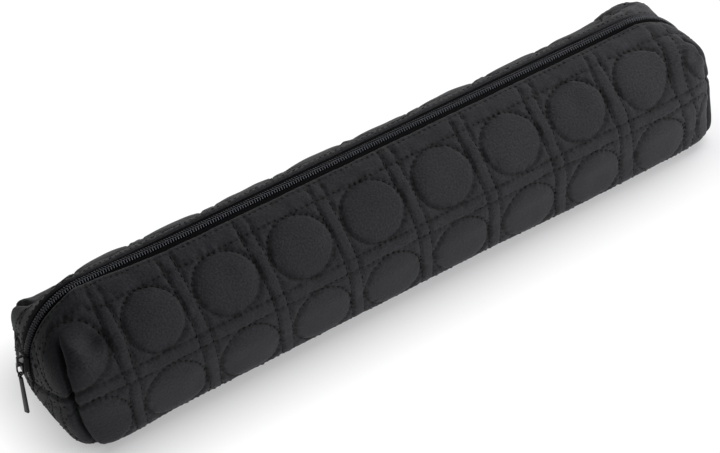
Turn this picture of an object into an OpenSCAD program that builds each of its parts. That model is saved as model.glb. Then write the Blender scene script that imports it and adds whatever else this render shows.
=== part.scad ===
// Long quilted zip case: a soft three-layer shell that stands on its flat base,
// closed by a coil zip that runs over the top and down the middle of both ends.
// X runs along the case, Y from front to back, Z up; the base lies on z = 0.

/* [Case] */
// Length over the two ends
case_length = 364; // [300:1:440]
// Width over the shoulders
case_width = 80.8; // [72:0.1:96]
// Height of the zip line above the floor
case_height = 66; // [62:0.5:78]
// Width of the flat base between its rounded edges
base_width = 55; // [44:0.5:62]
// How far each end of the base stands in from the fullest part of the end
end_lean = 5.5; // [3:0.1:9]

/* [Form] */
// Radius of the crown under the zip
crown_r = 32; // [24:0.5:36]
// How far the flat strip under the zip lies below the crown's round
crown_flat = 0.3; // [0.1:0.05:0.6]
// Radius of each shoulder
shoulder_r = 28; // [22:0.5:30]
// Height of the shoulders' centre
shoulder_z = 31; // [27:0.5:35]
// Radius along the base edges
base_edge_r = 6; // [5:0.1:9]
// Radius of the turn that the zip makes at each end
end_turn_r = 35.3; // [30:0.1:40]
// Radius of the upright corners
corner_r = 14; // [9:0.5:18]
// Radius of the slight bulge of each end wall, seen from above
end_bulge_r = 95; // [80:1:140]

/* [Layers] */
// Thickness of the outer fabric
cover_t = 1.0; // [0.6:0.1:1.4]
// Thickness of the wadding
wadding_t = 2.2; // [1.4:0.1:3]
// Thickness of the lining
lining_t = 0.6; // [0.4:0.1:1]
// How far the lining's edge stands back from the slot's edge
lining_back = 2; // [1:0.5:4]
// Gap between two layers of one panel
layer_gap = 0.05; // [0.02:0.01:0.1]
// Gap between two panels that move apart
panel_gap = 0.3; // [0.2:0.05:0.5]

/* [Quilting] */
// Distance between the puffs along the case
cell_pitch = 38; // [34:0.5:42]
// Number of columns of whole puffs
columns = 8; // [4:1:8]
// How far the pattern sits off the middle of the case
pattern_shift = 3.8; // [-6:0.1:6]
// Radius of one stitched puff
puff_r = 15.3; // [11:0.1:16]
// How far a puff stands out of the panel
puff_h = 1.8; // [1:0.1:2.6]
// Distance from the zip to the upper row, along the cover
upper_row = 33.8; // [31:0.1:35]
// Distance from the zip to the lower row, along the cover
lower_row = 72.2; // [68:0.1:76]

/* [Zip] */
// Half width of the slot between the cover's folded edges
slot_half = 3.2; // [2.8:0.1:4]
// Half width of the whole tape
tape_half = 10; // [8:0.5:13]
// Thickness of the tape
tape_t = 0.6; // [0.4:0.1:0.8]
// Half width of the closed chain
chain_half = 1.75; // [1.5:0.05:2]
// Half width of the groove that the slider's wedge runs in
groove_half = 0.75; // [0.65:0.05:0.9]
// Height of the coil above the tape
coil_h = 1.3; // [1:0.1:1.6]
// Height of the zip's sewn lower ends above the floor
zip_end_z = 27.5; // [25:0.5:29]
// Height down to which the zip opens
mouth_end_z = 47; // [46:0.5:52]
// Half width of the binding over the end seam
binding_half = 5; // [3:0.5:8]
// Thickness of the binding
binding_t = 0.8; // [0.5:0.1:1.2]

/* [Slider and pull] */
// Length of the slider
slider_length = 9; // [8:0.1:10]
// Half width of the slider's nose
nose_half = 3.5; // [3.2:0.1:3.8]
// Half width of the slider's tail
tail_half = 2.7; // [2.6:0.1:3]
// Thickness of the slider's plates
plate_t = 1.1; // [0.8:0.1:1.4]
// Clearance between the slider and the chain
slider_gap = 0.15; // [0.1:0.01:0.2]
// Half width of the wedge
wedge_half = 0.5; // [0.4:0.05:0.55]
// Turn of the slider above the middle of the end, at rest
slider_rest = 12.5; // [9:0.5:12.5]
// Thickness of the bail over the slider
bail_t = 0.9; // [0.7:0.1:1.1]
// Length of the bail
bail_length = 5.2; // [4.6:0.1:5.8]
// How far the bail sits from the slider's middle towards its tail
bail_shift = 1.2; // [0:0.1:1.4]
// Room under the bail
bail_room = 1.5; // [1.3:0.1:1.8]
// Diameter of the link's wire
wire_d = 1.1; // [0.9:0.05:1.2]
// Width of the link over its wire
link_width = 4.8; // [4.4:0.1:5.6]
// Length of the link over its wire
link_length = 7.2; // [7:0.1:9]
// Length of the pull bar below its eye
bar_length = 20; // [14:0.5:30]
// Width of the pull bar
bar_width = 2.2; // [1.8:0.1:3]
// Thickness of the pull bar
bar_t = 1.5; // [1.2:0.1:2]
// Radius of the pull bar's eye
eye_r = 1.3; // [1.15:0.05:1.6]
// Radial clearance of the eye on the wire
eye_gap = 0.07; // [0.04:0.01:0.1]

/* [Hidden] */
$fn = 96;

LONG = 600;
fabric = [0.19, 0.19, 0.20];
wadding_white = [0.85, 0.85, 0.83];
lining_black = [0.12, 0.12, 0.13];
tape_black = [0.10, 0.10, 0.11];
coil_black = [0.07, 0.07, 0.08];
metal_black = [0.05, 0.05, 0.06];

// Depth below the outer surface at which each layer starts and ends
wadding_in = cover_t + layer_gap;
lining_in = wadding_in + wadding_t + layer_gap;
shell_in = lining_in + lining_t;
tape_in = cover_t + 2 * layer_gap;
tape_out = tape_in + tape_t;
coil_top = tape_in - coil_h;
binding_in = shell_in + layer_gap;
// Half the height of the cutters that mark the puffs, past the shoulder's curve
puff_depth = puff_h + puff_r * puff_r / shoulder_r;

// The round stretches of each outline, as [across, up, radius], anticlockwise
shoulder_y = case_width / 2 - shoulder_r;
crown_z = case_height - crown_r;
turn_x = case_length / 2 - end_turn_r;
turn_z = case_height - crown_flat - end_turn_r;
base_x = case_length / 2 - end_lean - base_edge_r;
// The side and plan outlines stand this far off the section where all three meet
outline_play = 0.4;
// Straight runs lie this far inside the rounds that they join, so that they cross
run_bite = 0.02;
SECTION = [[base_width / 2, base_edge_r, base_edge_r],
           [shoulder_y, shoulder_z, shoulder_r],
           [0, crown_z, crown_r],
           [-shoulder_y, shoulder_z, shoulder_r],
           [-base_width / 2, base_edge_r, base_edge_r]];
PROFILE = [[base_x, base_edge_r - outline_play, base_edge_r],
           [turn_x, turn_z, end_turn_r],
           [-turn_x, turn_z, end_turn_r],
           [-base_x, base_edge_r - outline_play, base_edge_r]];

// The fold that each side opens about, on the base's rounded edge
fold_y = base_width / 2 + base_edge_r * cos(45);
fold_z = base_edge_r - base_edge_r * sin(45);

// Direction of the outward normal where a straight run joins rounds a and b
function run_angle(a, b) =
    atan2(b.y - a.y, b.x - a.x)
    - acos((a[2] - b[2]) / norm([b.x - a.x, b.y - a.y]));
function on_round(c, angle, inset) =
    [c.x + (c[2] - inset) * cos(angle), c.y + (c[2] - inset) * sin(angle)];

// Arc lengths from the zip line down one side of the section
slope_turn = 90 - run_angle(SECTION[1], SECTION[2]);
wall_turn = 90 - run_angle(SECTION[0], SECTION[1]);
crown_run = crown_r * slope_turn * PI / 180;
slope_run = norm([shoulder_y, crown_z - shoulder_z]) * sin(acos((crown_r - shoulder_r)
            / norm([shoulder_y, crown_z - shoulder_z])));
shoulder_run = shoulder_r * (wall_turn - slope_turn) * PI / 180;

// Place and turn of the point that lies s from the zip line, as [y, z, turn]
function side_point(s) =
    s < crown_run + slope_run
    ? slope_point(s - crown_run)
    : s < crown_run + slope_run + shoulder_run
    ? shoulder_point(slope_turn + (s - crown_run - slope_run) * 180 / PI / shoulder_r)
    : wall_point(s - crown_run - slope_run - shoulder_run);
function slope_point(d) =
    [crown_r * sin(slope_turn) + d * cos(slope_turn),
     crown_z + crown_r * cos(slope_turn) - d * sin(slope_turn), slope_turn];
function shoulder_point(turn) =
    [shoulder_y + shoulder_r * sin(turn), shoulder_z + shoulder_r * cos(turn), turn];
function wall_point(d) =
    [shoulder_y + shoulder_r * sin(wall_turn) + d * cos(wall_turn),
     shoulder_z + shoulder_r * cos(wall_turn) - d * sin(wall_turn), wall_turn];

// A convex outline of rounds joined by straight runs, drawn inset deep inside itself
module rounds(list, inset) {
    count = len(list);
    polygon([for (i = [0 : count - 1])
             for (end = [0, 1])
             let (a = list[i], b = list[(i + 1) % count])
             on_round(end == 0 ? a : b, run_angle(a, b), inset + run_bite)]);
    for (c = list) translate([c.x, c.y]) circle(r = c[2] - inset);
}

// The outline seen from above: straight sides, round corners, slightly bulging ends
module plan(inset) {
    side = case_width / 2 + outline_play;
    bulge_x = case_length / 2 - end_bulge_r;
    reach = end_bulge_r - corner_r;
    rise = side - corner_r;
    corner_x = bulge_x + sqrt(reach * reach - rise * rise);
    square([2 * corner_x, 2 * (side - inset - run_bite)], center = true);
    for (end = [-1, 1]) {
        for (flank = [-1, 1])
            translate([end * corner_x, flank * rise]) circle(r = corner_r - inset);
        intersection() {
            translate([end * bulge_x, 0]) circle(r = end_bulge_r - inset - run_bite);
            polygon([[end * bulge_x, 0],
                     [end * (bulge_x + 2 * (corner_x - bulge_x)), 2 * rise],
                     [end * (bulge_x + 2 * (corner_x - bulge_x)), -2 * rise]]);
        }
    }
}

module along_x(length = LONG) {
    rotate([90, 0, 90]) linear_extrude(height = length, center = true) children();
}

module along_y(length = LONG) {
    rotate([90, 0, 0]) linear_extrude(height = length, center = true) children();
}

// The whole closed form, with its surface inset deep
module form(inset) {
    intersection() {
        along_x() rounds(SECTION, inset);
        along_y() rounds(PROFILE, inset);
        linear_extrude(height = LONG, center = true) plan(inset);
    }
}

// The skin of the form between two depths, cut down to one zone before it is hollowed
module skin(outside, inside) {
    difference() {
        intersection() {
            form(outside);
            children();
        }
        form(inside);
    }
}

// The raised rounds of one side's quilting; side is -1 for the front, 1 for the back
module puffs(side) {
    for (row = [upper_row, lower_row]) {
        p = side_point(row);
        intersection() {
            along_x() rounds(SECTION, -puff_h);
            for (i = [0 : columns - 1])
                translate([pattern_shift + (i - (columns - 1) / 2) * cell_pitch,
                           side * p[0], p[1]])
                rotate([-side * p[2], 0, 0])
                cylinder(r = puff_r, h = 2 * puff_depth, center = true);
        }
    }
}

// What belongs to the base: below the two folds and below the mouth's ends
module base_zone() {
    along_x() polygon([[-LONG, fold_z], [-fold_y, fold_z], [0, mouth_end_z],
                       [fold_y, fold_z], [LONG, fold_z], [LONG, -LONG], [-LONG, -LONG]]);
}

// What belongs to one side: above its fold, up to the middle of the zip
module side_zone(side) {
    along_x() polygon([[side * LONG, fold_z + panel_gap],
                       [side * fold_y, fold_z + panel_gap],
                       [side * panel_gap / 2, mouth_end_z + panel_gap],
                       [side * panel_gap / 2, LONG], [side * LONG, LONG]]);
}

// A band over the zip, half wide on each side, from the zip's lower ends upward
module zip_band(half) {
    translate([-LONG / 2, -half, zip_end_z]) cube([LONG, 2 * half, LONG]);
}

// A strip of the skin along the zip, from inner to outer on both sides of its middle
module zip_strip(inner, outer, outside, inside) {
    difference() {
        skin(outside, inside) {
            intersection() {
                zip_band(outer);
                children();
            }
        }
        translate([-LONG / 2, -inner, -LONG / 2]) cube([LONG, 2 * inner, LONG]);
    }
}

// The three layers of a panel, in the zone that the panel takes
module cover_layer() {
    difference() {
        skin(0, cover_t) children();
        zip_band(slot_half);
    }
}

module wadding_layer() {
    difference() {
        skin(wadding_in, wadding_in + wadding_t) children();
        zip_band(tape_half + layer_gap);
    }
}

module lining_layer() {
    difference() {
        skin(lining_in, shell_in) children();
        zip_band(slot_half + lining_back);
    }
}

module side_cover(side) {
    color(fabric)
    difference() {
        intersection() {
            union() {
                form(0);
                puffs(side);
            }
            side_zone(side);
        }
        form(cover_t);
        zip_band(slot_half);
    }
}

module side_tape(side) {
    color(tape_black)
    zip_strip(groove_half, tape_half, tape_in, tape_out) side_zone(side);
}

module side_coil(side) {
    color(coil_black)
    zip_strip(groove_half, chain_half, coil_top, tape_in) side_zone(side);
}

module base_cover() {
    color(fabric) cover_layer() base_zone();
}

module base_wadding() {
    color(wadding_white) wadding_layer() base_zone();
}

module base_lining() {
    color(lining_black) lining_layer() base_zone();
}

// The part of a zone at one end of the case; end is -1 left, 1 right
module end_half(end) {
    intersection() {
        translate([end * LONG / 2, 0, 0]) cube(LONG, center = true);
        children();
    }
}

// The short stretch of tape and coil below the mouth
module zip_tail(end) {
    color(tape_black) {
        zip_strip(groove_half, tape_half, tape_in, tape_out) end_half(end) base_zone();
        zip_strip(groove_half, chain_half, coil_top, tape_in) end_half(end) base_zone();
    }
}

// The tape sewn over the raw edges of the seam below the zip
module seam_binding(end) {
    low = base_edge_r + layer_gap;
    color(tape_black)
    skin(binding_in, binding_in + binding_t)
    translate([end > 0 ? 0 : -LONG, -binding_half, low])
    cube([LONG, 2 * binding_half, zip_end_z - low]);
}

module left_zip_tail() {
    zip_tail(-1);
}

module right_zip_tail() {
    zip_tail(1);
}

module left_seam_binding() {
    seam_binding(-1);
}

module right_seam_binding() {
    seam_binding(1);
}

module front_cover() {
    side_cover(-1);
}

module front_wadding() {
    color(wadding_white) wadding_layer() side_zone(-1);
}

module front_lining() {
    color(lining_black) lining_layer() side_zone(-1);
}

module front_zip_tape() {
    side_tape(-1);
}

module front_zip_coil() {
    side_coil(-1);
}

module back_cover() {
    side_cover(1);
}

module back_wadding() {
    color(wadding_white) wadding_layer() side_zone(1);
}

module back_lining() {
    color(lining_black) lining_layer() side_zone(1);
}

module back_zip_tape() {
    side_tape(1);
}

module back_zip_coil() {
    side_coil(1);
}

// Puts a piece modelled at the turn's centre, facing -X, at the slider's rest place
module at_slider() {
    translate([-turn_x, 0, turn_z]) rotate([0, slider_rest, 0]) children();
}

// Distances from the turn's centre out to the slider's plates and bail
top_near = end_turn_r - coil_top + slider_gap;
top_far = top_near + plate_t;
flange_near = end_turn_r - tape_in + 0.2;
bottom_far = end_turn_r - tape_out - 0.5;
bottom_near = bottom_far - plate_t;
bail_far = top_far + bail_room + bail_t;
wire_r = wire_d / 2;
// The link's wire rests at the low end of the bail
link_out = top_far + bail_room / 2;
link_up = bail_shift - bail_length / 2 + bail_t + wire_r + 0.1;

// Outline of a slider plate: broad nose below, narrower tail above
module plate_outline() {
    half = slider_length / 2;
    nose_r = 2;
    tail_r = 1;
    rounds([[-half + nose_r, -nose_half + nose_r, nose_r],
            [half - tail_r, -tail_half + tail_r, tail_r],
            [half - tail_r, tail_half - tail_r, tail_r],
            [-half + nose_r, nose_half - nose_r, nose_r]], 0);
}

module plate(near, far) {
    translate([-far, 0, 0]) rotate([0, 90, 0]) mirror([1, 0, 0])
    linear_extrude(height = far - near) plate_outline();
}

module slider_body() {
    channel = chain_half + slider_gap + 0.05;
    flange_top = slot_half - 0.2;
    half = slider_length / 2;
    color(metal_black)
    at_slider() {
        plate(top_near, top_far);
        plate(bottom_near, bottom_far);
        // Side flanges that fold in over the chain
        for (flank = [-1, 1])
            translate([-(top_near + flange_near) / 2, flank * (channel + flange_top) / 2, 0.5])
            cube([top_near - flange_near + 0.02, flange_top - channel, slider_length - 3],
                 center = true);
        // The wedge that parts the two coils, and joins the plates
        translate([-top_near - 0.01, 0, -half + 0.6])
        rotate([0, 90, 0])
        linear_extrude(height = top_near - bottom_far + 0.02)
        polygon([[0, -wedge_half], [0, wedge_half],
                 [-1.9, wedge_half], [-2.6, 0], [-1.9, -wedge_half]]);
        // The bail that the link hangs in
        rotate([90, 0, 0])
        linear_extrude(height = bail_t, center = true)
        translate([-top_far + 0.01, bail_shift])
        difference() {
            bail_side(bail_length / 2, bail_room + bail_t + 0.01);
            bail_side(bail_length / 2 - bail_t, bail_room + 0.01);
        }
    }
}

// Half of a rounded bail, seen from the side, standing out to -X
module bail_side(half, out) {
    r = 0.6;
    translate([-out + r, -half]) square([out - r, 2 * half]);
    translate([-out, -half + r]) square([out, 2 * (half - r)]);
    for (end = [-1, 1]) translate([-out + r, end * (half - r)]) circle(r = r);
}

module rod_y(length) {
    rotate([90, 0, 0]) cylinder(r = wire_r, h = length, center = true);
}

// A loop of wire with straight sides, lying over the slider with its top bar in the bail
module pull_link() {
    bend_r = 1;
    half_w = link_width / 2 - wire_r;
    drop = link_length - wire_d;
    color(metal_black)
    at_slider()
    translate([-link_out, 0, link_up]) {
        for (z = [0, -drop]) translate([0, 0, z]) rod_y(2 * (half_w - bend_r));
        for (flank = [-1, 1]) {
            translate([0, flank * half_w, -drop + bend_r])
            cylinder(r = wire_r, h = drop - 2 * bend_r);
            for (upper = [0, 1])
                translate([0, flank * (half_w - bend_r), upper ? -bend_r : -drop + bend_r])
                rotate([90, 0, 90])
                rotate([0, 0, upper ? (flank > 0 ? 0 : 90) : (flank > 0 ? 270 : 180)])
                rotate_extrude(angle = 90) translate([bend_r, 0]) circle(r = wire_r);
        }
    }
}

// The bar hangs plumb from the link's lower end
module pull_bar() {
    drop = link_length - wire_d;
    eye_w = link_width - 2 * wire_d - 1.2;
    color(metal_black)
    at_slider()
    translate([-link_out, 0, link_up - drop])
    rotate([0, -slider_rest, 0]) {
        difference() {
            union() {
                rotate([90, 0, 0]) cylinder(r = eye_r, h = eye_w, center = true);
                translate([-bar_t / 2, -eye_w / 2, -eye_r - 1]) cube([bar_t, eye_w, eye_r + 1]);
            }
            rotate([90, 0, 0]) cylinder(r = wire_r + eye_gap, h = 2 * eye_w, center = true);
        }
        translate([-bar_t / 2, 0, -eye_r - 0.4 - bar_length / 2])
        rotate([90, 0, 90])
        linear_extrude(height = bar_t)
        bar_outline();
    }
}

// The bar seen from the end of the case: round ends, a little broader below
module bar_outline() {
    top_r = bar_width / 2 - 0.2;
    low_r = bar_width / 2;
    rounds([[0, -bar_length / 2 + low_r, low_r],
            [0, bar_length / 2 - top_r, top_r]], 0);
}

base_cover();
base_wadding();
base_lining();
left_zip_tail();
right_zip_tail();
left_seam_binding();
right_seam_binding();
front_cover();
front_wadding();
front_lining();
front_zip_tape();
front_zip_coil();
back_cover();
back_wadding();
back_lining();
back_zip_tape();
back_zip_coil();
slider_body();
pull_link();
pull_bar();
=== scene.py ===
import math

import bpy
import numpy as np
from mathutils import Matrix, Vector


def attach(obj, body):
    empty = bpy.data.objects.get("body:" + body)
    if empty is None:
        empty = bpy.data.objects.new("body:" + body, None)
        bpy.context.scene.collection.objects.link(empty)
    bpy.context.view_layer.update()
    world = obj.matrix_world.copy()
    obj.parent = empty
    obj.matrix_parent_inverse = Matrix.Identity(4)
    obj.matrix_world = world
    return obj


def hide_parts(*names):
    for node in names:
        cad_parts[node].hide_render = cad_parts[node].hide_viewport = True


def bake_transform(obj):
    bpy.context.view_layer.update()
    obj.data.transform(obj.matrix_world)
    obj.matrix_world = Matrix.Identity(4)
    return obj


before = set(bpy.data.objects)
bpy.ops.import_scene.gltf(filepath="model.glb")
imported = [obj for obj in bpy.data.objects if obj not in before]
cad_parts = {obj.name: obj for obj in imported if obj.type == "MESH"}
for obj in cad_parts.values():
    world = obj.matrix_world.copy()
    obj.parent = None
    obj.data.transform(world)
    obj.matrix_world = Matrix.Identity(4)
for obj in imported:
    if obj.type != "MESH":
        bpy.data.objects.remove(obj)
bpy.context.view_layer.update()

MM = 0.001

# The case's form, in mm, as the solids have it: rounds of the cross section, of the
# lengthwise profile and of the plan, with the turns from straight up at which they meet
CROWN_Z, CROWN_R = 34.0, 32.0
SHOULDER_Y, SHOULDER_Z, SHOULDER_R = 12.4, 31.0, 28.0
TURN_X, TURN_Z, TURN_R = 146.7, 30.4, 35.3
SLOPE_TURN, WALL_TURN, END_TURN = (math.radians(a) for a in (31.87, 107.76, 104.7))
ROOF_TURN, FLANK_TURN = math.radians(12), math.radians(30)
BULGE_X, BULGE_R = 87.0, 95.0
CORNER_X, CORNER_Y, CORNER_R = 163.44, 26.8, 14.0
ZIP_END_U = 205.0
# How softly an end's profile and plan, the walls and the ends, and all and the base meet
END_SOFT, WALL_SOFT, BASE_SOFT = 5.0, 13.0, 9.0
FAR_INSIDE = -1e3

# The quilting, in mm
PITCH = 38.0
FIRST_PUFF = -129.2
PUFF_R = 15.3
ROW_PITCH = 38.4
FIRST_ROW = 33.8
LINE_NEAR, LINE_FAR = 16.0, 22.2


# ---------------------------------------------------------------- form of the case


def soft_max(a, b, k):
    """The larger of a and b, rounded over where they are nearly equal."""
    k = np.maximum(k, 1e-6)
    h = np.maximum(k - np.abs(a - b), 0) / k
    return np.maximum(a, b) + h * h * k * 0.25


def rise(x, low, high):
    """Smooth step from 0 at low to 1 at high."""
    t = np.clip((x - low) / (high - low), 0, 1)
    return t * t * (3 - 2 * t)


def fall(x, low, high):
    """Smooth step from 1 at low to 0 at high."""
    return 1 - rise(x, low, high)


def size_of(v):
    """The length of each vector."""
    return np.linalg.norm(v, axis=-1)


def bump(x, width):
    """A bell of height 1 about 0."""
    return np.exp(-((x / width) ** 2))


def arc(across, up, c_across, c_up, radius, first, last):
    """Distance outside an arc that turns from straight up, where it is the nearest part."""
    dx, dz = across - c_across, up - c_up
    turn = np.arctan2(dx, dz)
    there = (turn >= first) & (turn <= last)
    return np.where(there, np.hypot(dx, dz) - radius, FAR_INSIDE)


def run(across, up, c_across, c_up, radius, turn):
    """Distance outside the straight run that leaves an arc at a turn."""
    return (across - c_across) * math.sin(turn) + (up - c_up) * math.cos(turn) - radius


def section_side(ay, z):
    """Distance outside the cross section, for points ay from its middle."""
    return np.maximum.reduce(
        [
            arc(ay, z, 0, CROWN_Z, CROWN_R, -1, SLOPE_TURN),
            run(ay, z, 0, CROWN_Z, CROWN_R, SLOPE_TURN),
            arc(ay, z, SHOULDER_Y, SHOULDER_Z, SHOULDER_R, SLOPE_TURN, WALL_TURN),
            run(ay, z, SHOULDER_Y, SHOULDER_Z, SHOULDER_R, WALL_TURN),
        ]
    )


def end_side(ax, ay, z):
    """Distance outside the case's end: its profile seen from the front, and its plan."""
    profile = np.maximum.reduce(
        [
            run(ax, z, TURN_X, TURN_Z, TURN_R, ROOF_TURN),
            arc(ax, z, TURN_X, TURN_Z, TURN_R, ROOF_TURN, END_TURN),
            run(ax, z, TURN_X, TURN_Z, TURN_R, END_TURN),
        ]
    )
    side = math.atan2(CORNER_X - BULGE_X, CORNER_Y)
    plan = np.maximum.reduce(
        [
            np.where(
                np.arctan2(ax - BULGE_X, ay) >= side,
                np.hypot(ax - BULGE_X, ay) - BULGE_R,
                FAR_INSIDE,
            ),
            arc(ax, ay, CORNER_X, CORNER_Y, CORNER_R, FLANK_TURN, side),
            run(ax, ay, CORNER_X, CORNER_Y, CORNER_R, FLANK_TURN),
        ]
    )
    return soft_max(profile, plan, END_SOFT)


def form(p):
    """How far each point of p lies outside the case's closed form, in mm."""
    ax, ay, z = np.abs(p[..., 0]), np.abs(p[..., 1]), p[..., 2]
    soft = WALL_SOFT * rise(ay, 5, 20)
    walls = soft_max(section_side(ay, z), end_side(ax, ay, z), soft)
    return soft_max(walls, -z, BASE_SOFT)


def form_normal(p):
    """The direction out of the form at each point of p."""
    e = 0.05
    g = np.stack(
        [form(p + e * np.eye(3)[i]) - form(p - e * np.eye(3)[i]) for i in range(3)], -1
    )
    return g / np.linalg.norm(g, axis=-1, keepdims=True)


def out_to_form(centre, direction):
    """Where rays from inside the form leave it."""
    low = np.zeros(direction.shape[:-1])
    high = np.full(direction.shape[:-1], 130.0)
    for _ in range(26):
        mid = (low + high) / 2
        inside = form(centre + direction * mid[..., None]) < 0
        low, high = np.where(inside, mid, low), np.where(inside, high, mid)
    return centre + direction * low[..., None]


def unit(v):
    """Each vector with a length of 1."""
    return v / np.linalg.norm(v, axis=-1, keepdims=True)


def swing(a, b, t):
    """Directions part way from a to b along the shorter turn."""
    angle = np.arccos(np.clip((a * b).sum(-1), -1, 1))[:, None, None]
    angle = np.maximum(angle, 1e-4)
    t = t[None, :, None]
    return (
        np.sin((1 - t) * angle) * a[:, None] + np.sin(t * angle) * b[:, None]
    ) / np.sin(angle)


def zip_line(u):
    """Points over the middle of the zip, u mm along it from the middle of the case."""
    au, s = np.abs(u), np.sign(u)
    turn = np.clip((au - TURN_X) / TURN_R, 0, END_TURN)
    down = np.maximum(au - TURN_X - TURN_R * END_TURN, 0)
    x = np.minimum(au, TURN_X) + TURN_R * np.sin(turn) + down * math.cos(END_TURN)
    z = TURN_Z + TURN_R * np.cos(turn) - down * math.sin(END_TURN)
    return np.stack([s * x, np.zeros_like(x), z], -1)


def outline(b, z, corner_x, corner_y, radius, end_x):
    """Points on a level outline of the front half, b mm along it from the middle."""
    ab, s = np.abs(b), np.sign(b)
    quarter = radius * math.pi / 2
    turn = np.clip((ab - corner_x) / radius, 0, math.pi / 2)
    last = np.maximum(ab - corner_x - quarter, 0)
    x = np.minimum(ab, corner_x) + radius * np.sin(turn)
    y = -(corner_y + radius * np.cos(turn)) + last
    return np.stack([s * np.minimum(x, end_x), np.minimum(y, 0), np.full_like(x, z)], -1)


# The grid of one half: how far its columns go from the middle, and how many there are
HALF_U = 229.0
COLUMNS_FINE = 521
ROWS_FINE = 139
INSIDE_STEP = 6
RAY_STEPS = 61
SMOOTHINGS = 40
# Level outlines that the columns pass: height, the corner's middle and radius, the end;
# and from where the columns spread along them, up to which place
WAIST = (31.0, 166.0, 26.4, 14.0, 182.0)
FOOT = (2.0, 163.0, 17.5, 13.0, 176.5)
WAIST_FROM, WAIST_TO = 166, 214
FOOT_FROM, FOOT_TO = 168, 209
# How far the rays that find the form start from the ends, and how high
CORE_X, CORE_Z = 138.0, 28.0
BASE_X = 148.0


def drawn_out(u, start, last, reach):
    """Past start, u is stretched so that last comes to reach."""
    return np.where(u < start, u, start + (u - start) * (reach - start) / (last - start))


def panel_grid(edge):
    """Columns and rows of points on the front half's form, with u and s of each."""
    u = np.linspace(-HALF_U, HALF_U, COLUMNS_FINE)
    au, sign = np.abs(u), np.sign(u)
    top = zip_line(u)
    slot = edge * rise(ZIP_END_U + 2 - au, 0, 5)
    top[:, 1] = -slot
    waist = outline(sign * drawn_out(au, WAIST_FROM, ZIP_END_U, WAIST_TO), *WAIST)
    foot = outline(sign * drawn_out(au, FOOT_FROM, HALF_U, FOOT_TO), *FOOT)
    middle = np.stack([sign * np.minimum(au, BASE_X), 0 * u, 0 * u], -1)
    centre = np.stack([sign * np.minimum(au, CORE_X), 0 * u, 0 * u + CORE_Z], -1)
    # Past the zip's ends a column starts below the waist, so it goes straight down
    high = rise(ZIP_END_U + 1 - au, 0, 22)[:, None]
    waist = waist * high + (0.5 * top + 0.5 * foot) * (1 - high)
    way = [unit(q - centre) for q in (top, waist, foot, middle)]
    t = np.linspace(0, 1, RAY_STEPS)
    lines = [swing(a, b, t[:-1]) for a, b in zip(way[:-1], way[1:])]
    lines = np.concatenate([*lines, way[-1][:, None]], 1)
    points = out_to_form(centre[:, None, :], unit(lines))
    # The top row is the slot's edge itself, and the last row the middle of the base
    points[:, -1] = middle
    points = evenly(points, ROWS_FINE)
    # The columns round the ends are smoothed, all but their first and last points
    eased = rise(au, 150, 165)[1:-1, None, None] * np.ones((1, ROWS_FINE, 1))
    eased[:, 0] = eased[:, -1] = 0
    for _ in range(SMOOTHINGS):
        smooth = 0.25 * (points[:-2] + points[2:]) - 0.5 * points[1:-1]
        points[1:-1] += smooth * eased
    for _ in range(2):
        step = form(points)[..., None] * form_normal(points)
        points[:, 1:-1] -= step[:, 1:-1]
    points = evenly(points, ROWS_FINE)
    from_zip = way_along(points) + edge
    # At the ends the cloth is gathered, so its rows keep their height above the base
    foot_row = np.argmax(points[..., 2] < 1.0, axis=1)
    foot = from_zip[np.arange(len(u)), foot_row]
    whole = foot[len(u) // 2]
    share = (from_zip - edge) / (foot[:, None] - edge)
    low = rise(share, 0.15, 0.62)
    s = (1 - low) * from_zip + low * (from_zip - foot[:, None] + whole)
    return points, np.repeat(u[:, None], ROWS_FINE, 1), s


def way_along(points):
    """How far each point of each column lies from the column's start."""
    length = size_of(np.diff(points, axis=1))
    return np.concatenate([np.zeros((len(points), 1)), np.cumsum(length, 1)], 1)


def evenly(points, count):
    """Each column again with its points at even distances along it."""
    out = np.empty((len(points), count, 3))
    for i, along in enumerate(way_along(points)):
        want = np.linspace(0, along[-1], count)
        for k in range(3):
            out[i, :, k] = np.interp(want, along, points[i, :, k])
    return out


# ---------------------------------------------------------------- quilting

# The pattern's upright lines, and where they lie on the case: at one place all the way
# down, or at another one for each height, since the cloth is gathered at both ends
PATTERN_U = (-231.0, -167.2, -151.4, -145.2, -113.4, 114.6, 120.8, 152.6, 158.8, 228.0)
GATHER_S = (12, 24, 36, 44, 50, 56, 64, 72, 80)
GATHERED = {
    2: (-146.8, -147.0, -147.2, -147.6, -148.6, -149.3, -150.0, -150.2, -150.4),
    3: (-142.4, -141.7, -141.7, -142.8, -143.8, -144.1, -144.8, -145.0, -145.1),
    5: (117.5, 114.7, 113.6, 112.8, 114.0, 113.8, 113.4, 113.0, 113.0),
    6: (122.6, 121.5, 120.6, 120.9, 120.7, 120.6, 120.9, 121.4, 121.6),
    7: (154.3, 152.2, 147.9, 146.6, 148.0, 150.6, 152.1, 152.2, 151.5),
    8: (163.5, 158.5, 154.0, 153.7, 155.4, 158.7, 161.0, 160.1, 157.0),
}
UPRIGHT = {0: -229.0, 1: -165.4, 4: -113.4, 9: 229.0}
STITCH = 2.8
# How full the quilting is past the pleats, and at the upper corners of the two sides
END_PUFFS = 0.12
CORNER_PUFFS = {-1: 0.42, 1: 0.75}
# The row of stitches along the slot, on the case and in the pattern
TOPSTITCH = 2.4
ROW_LINE = 11.6
# The slot's edge from the middle of the zip, on the front (-1) and on the back (1), and how
# much nearer it comes at the left and the right end
SLOT_EDGE = {-1: 6.6, 1: 3.9}
NEARER_LEFT = {-1: 3.4, 1: 0.0}
NEARER_RIGHT = {-1: 0.6, 1: 2.2}


def knots(s):
    """The case's place of each upright line of the pattern at the height s."""
    return [
        np.interp(s, GATHER_S, GATHERED[k]) if k in GATHERED else np.full(np.shape(s), UPRIGHT[k])
        for k in range(len(PATTERN_U))
    ]


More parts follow.
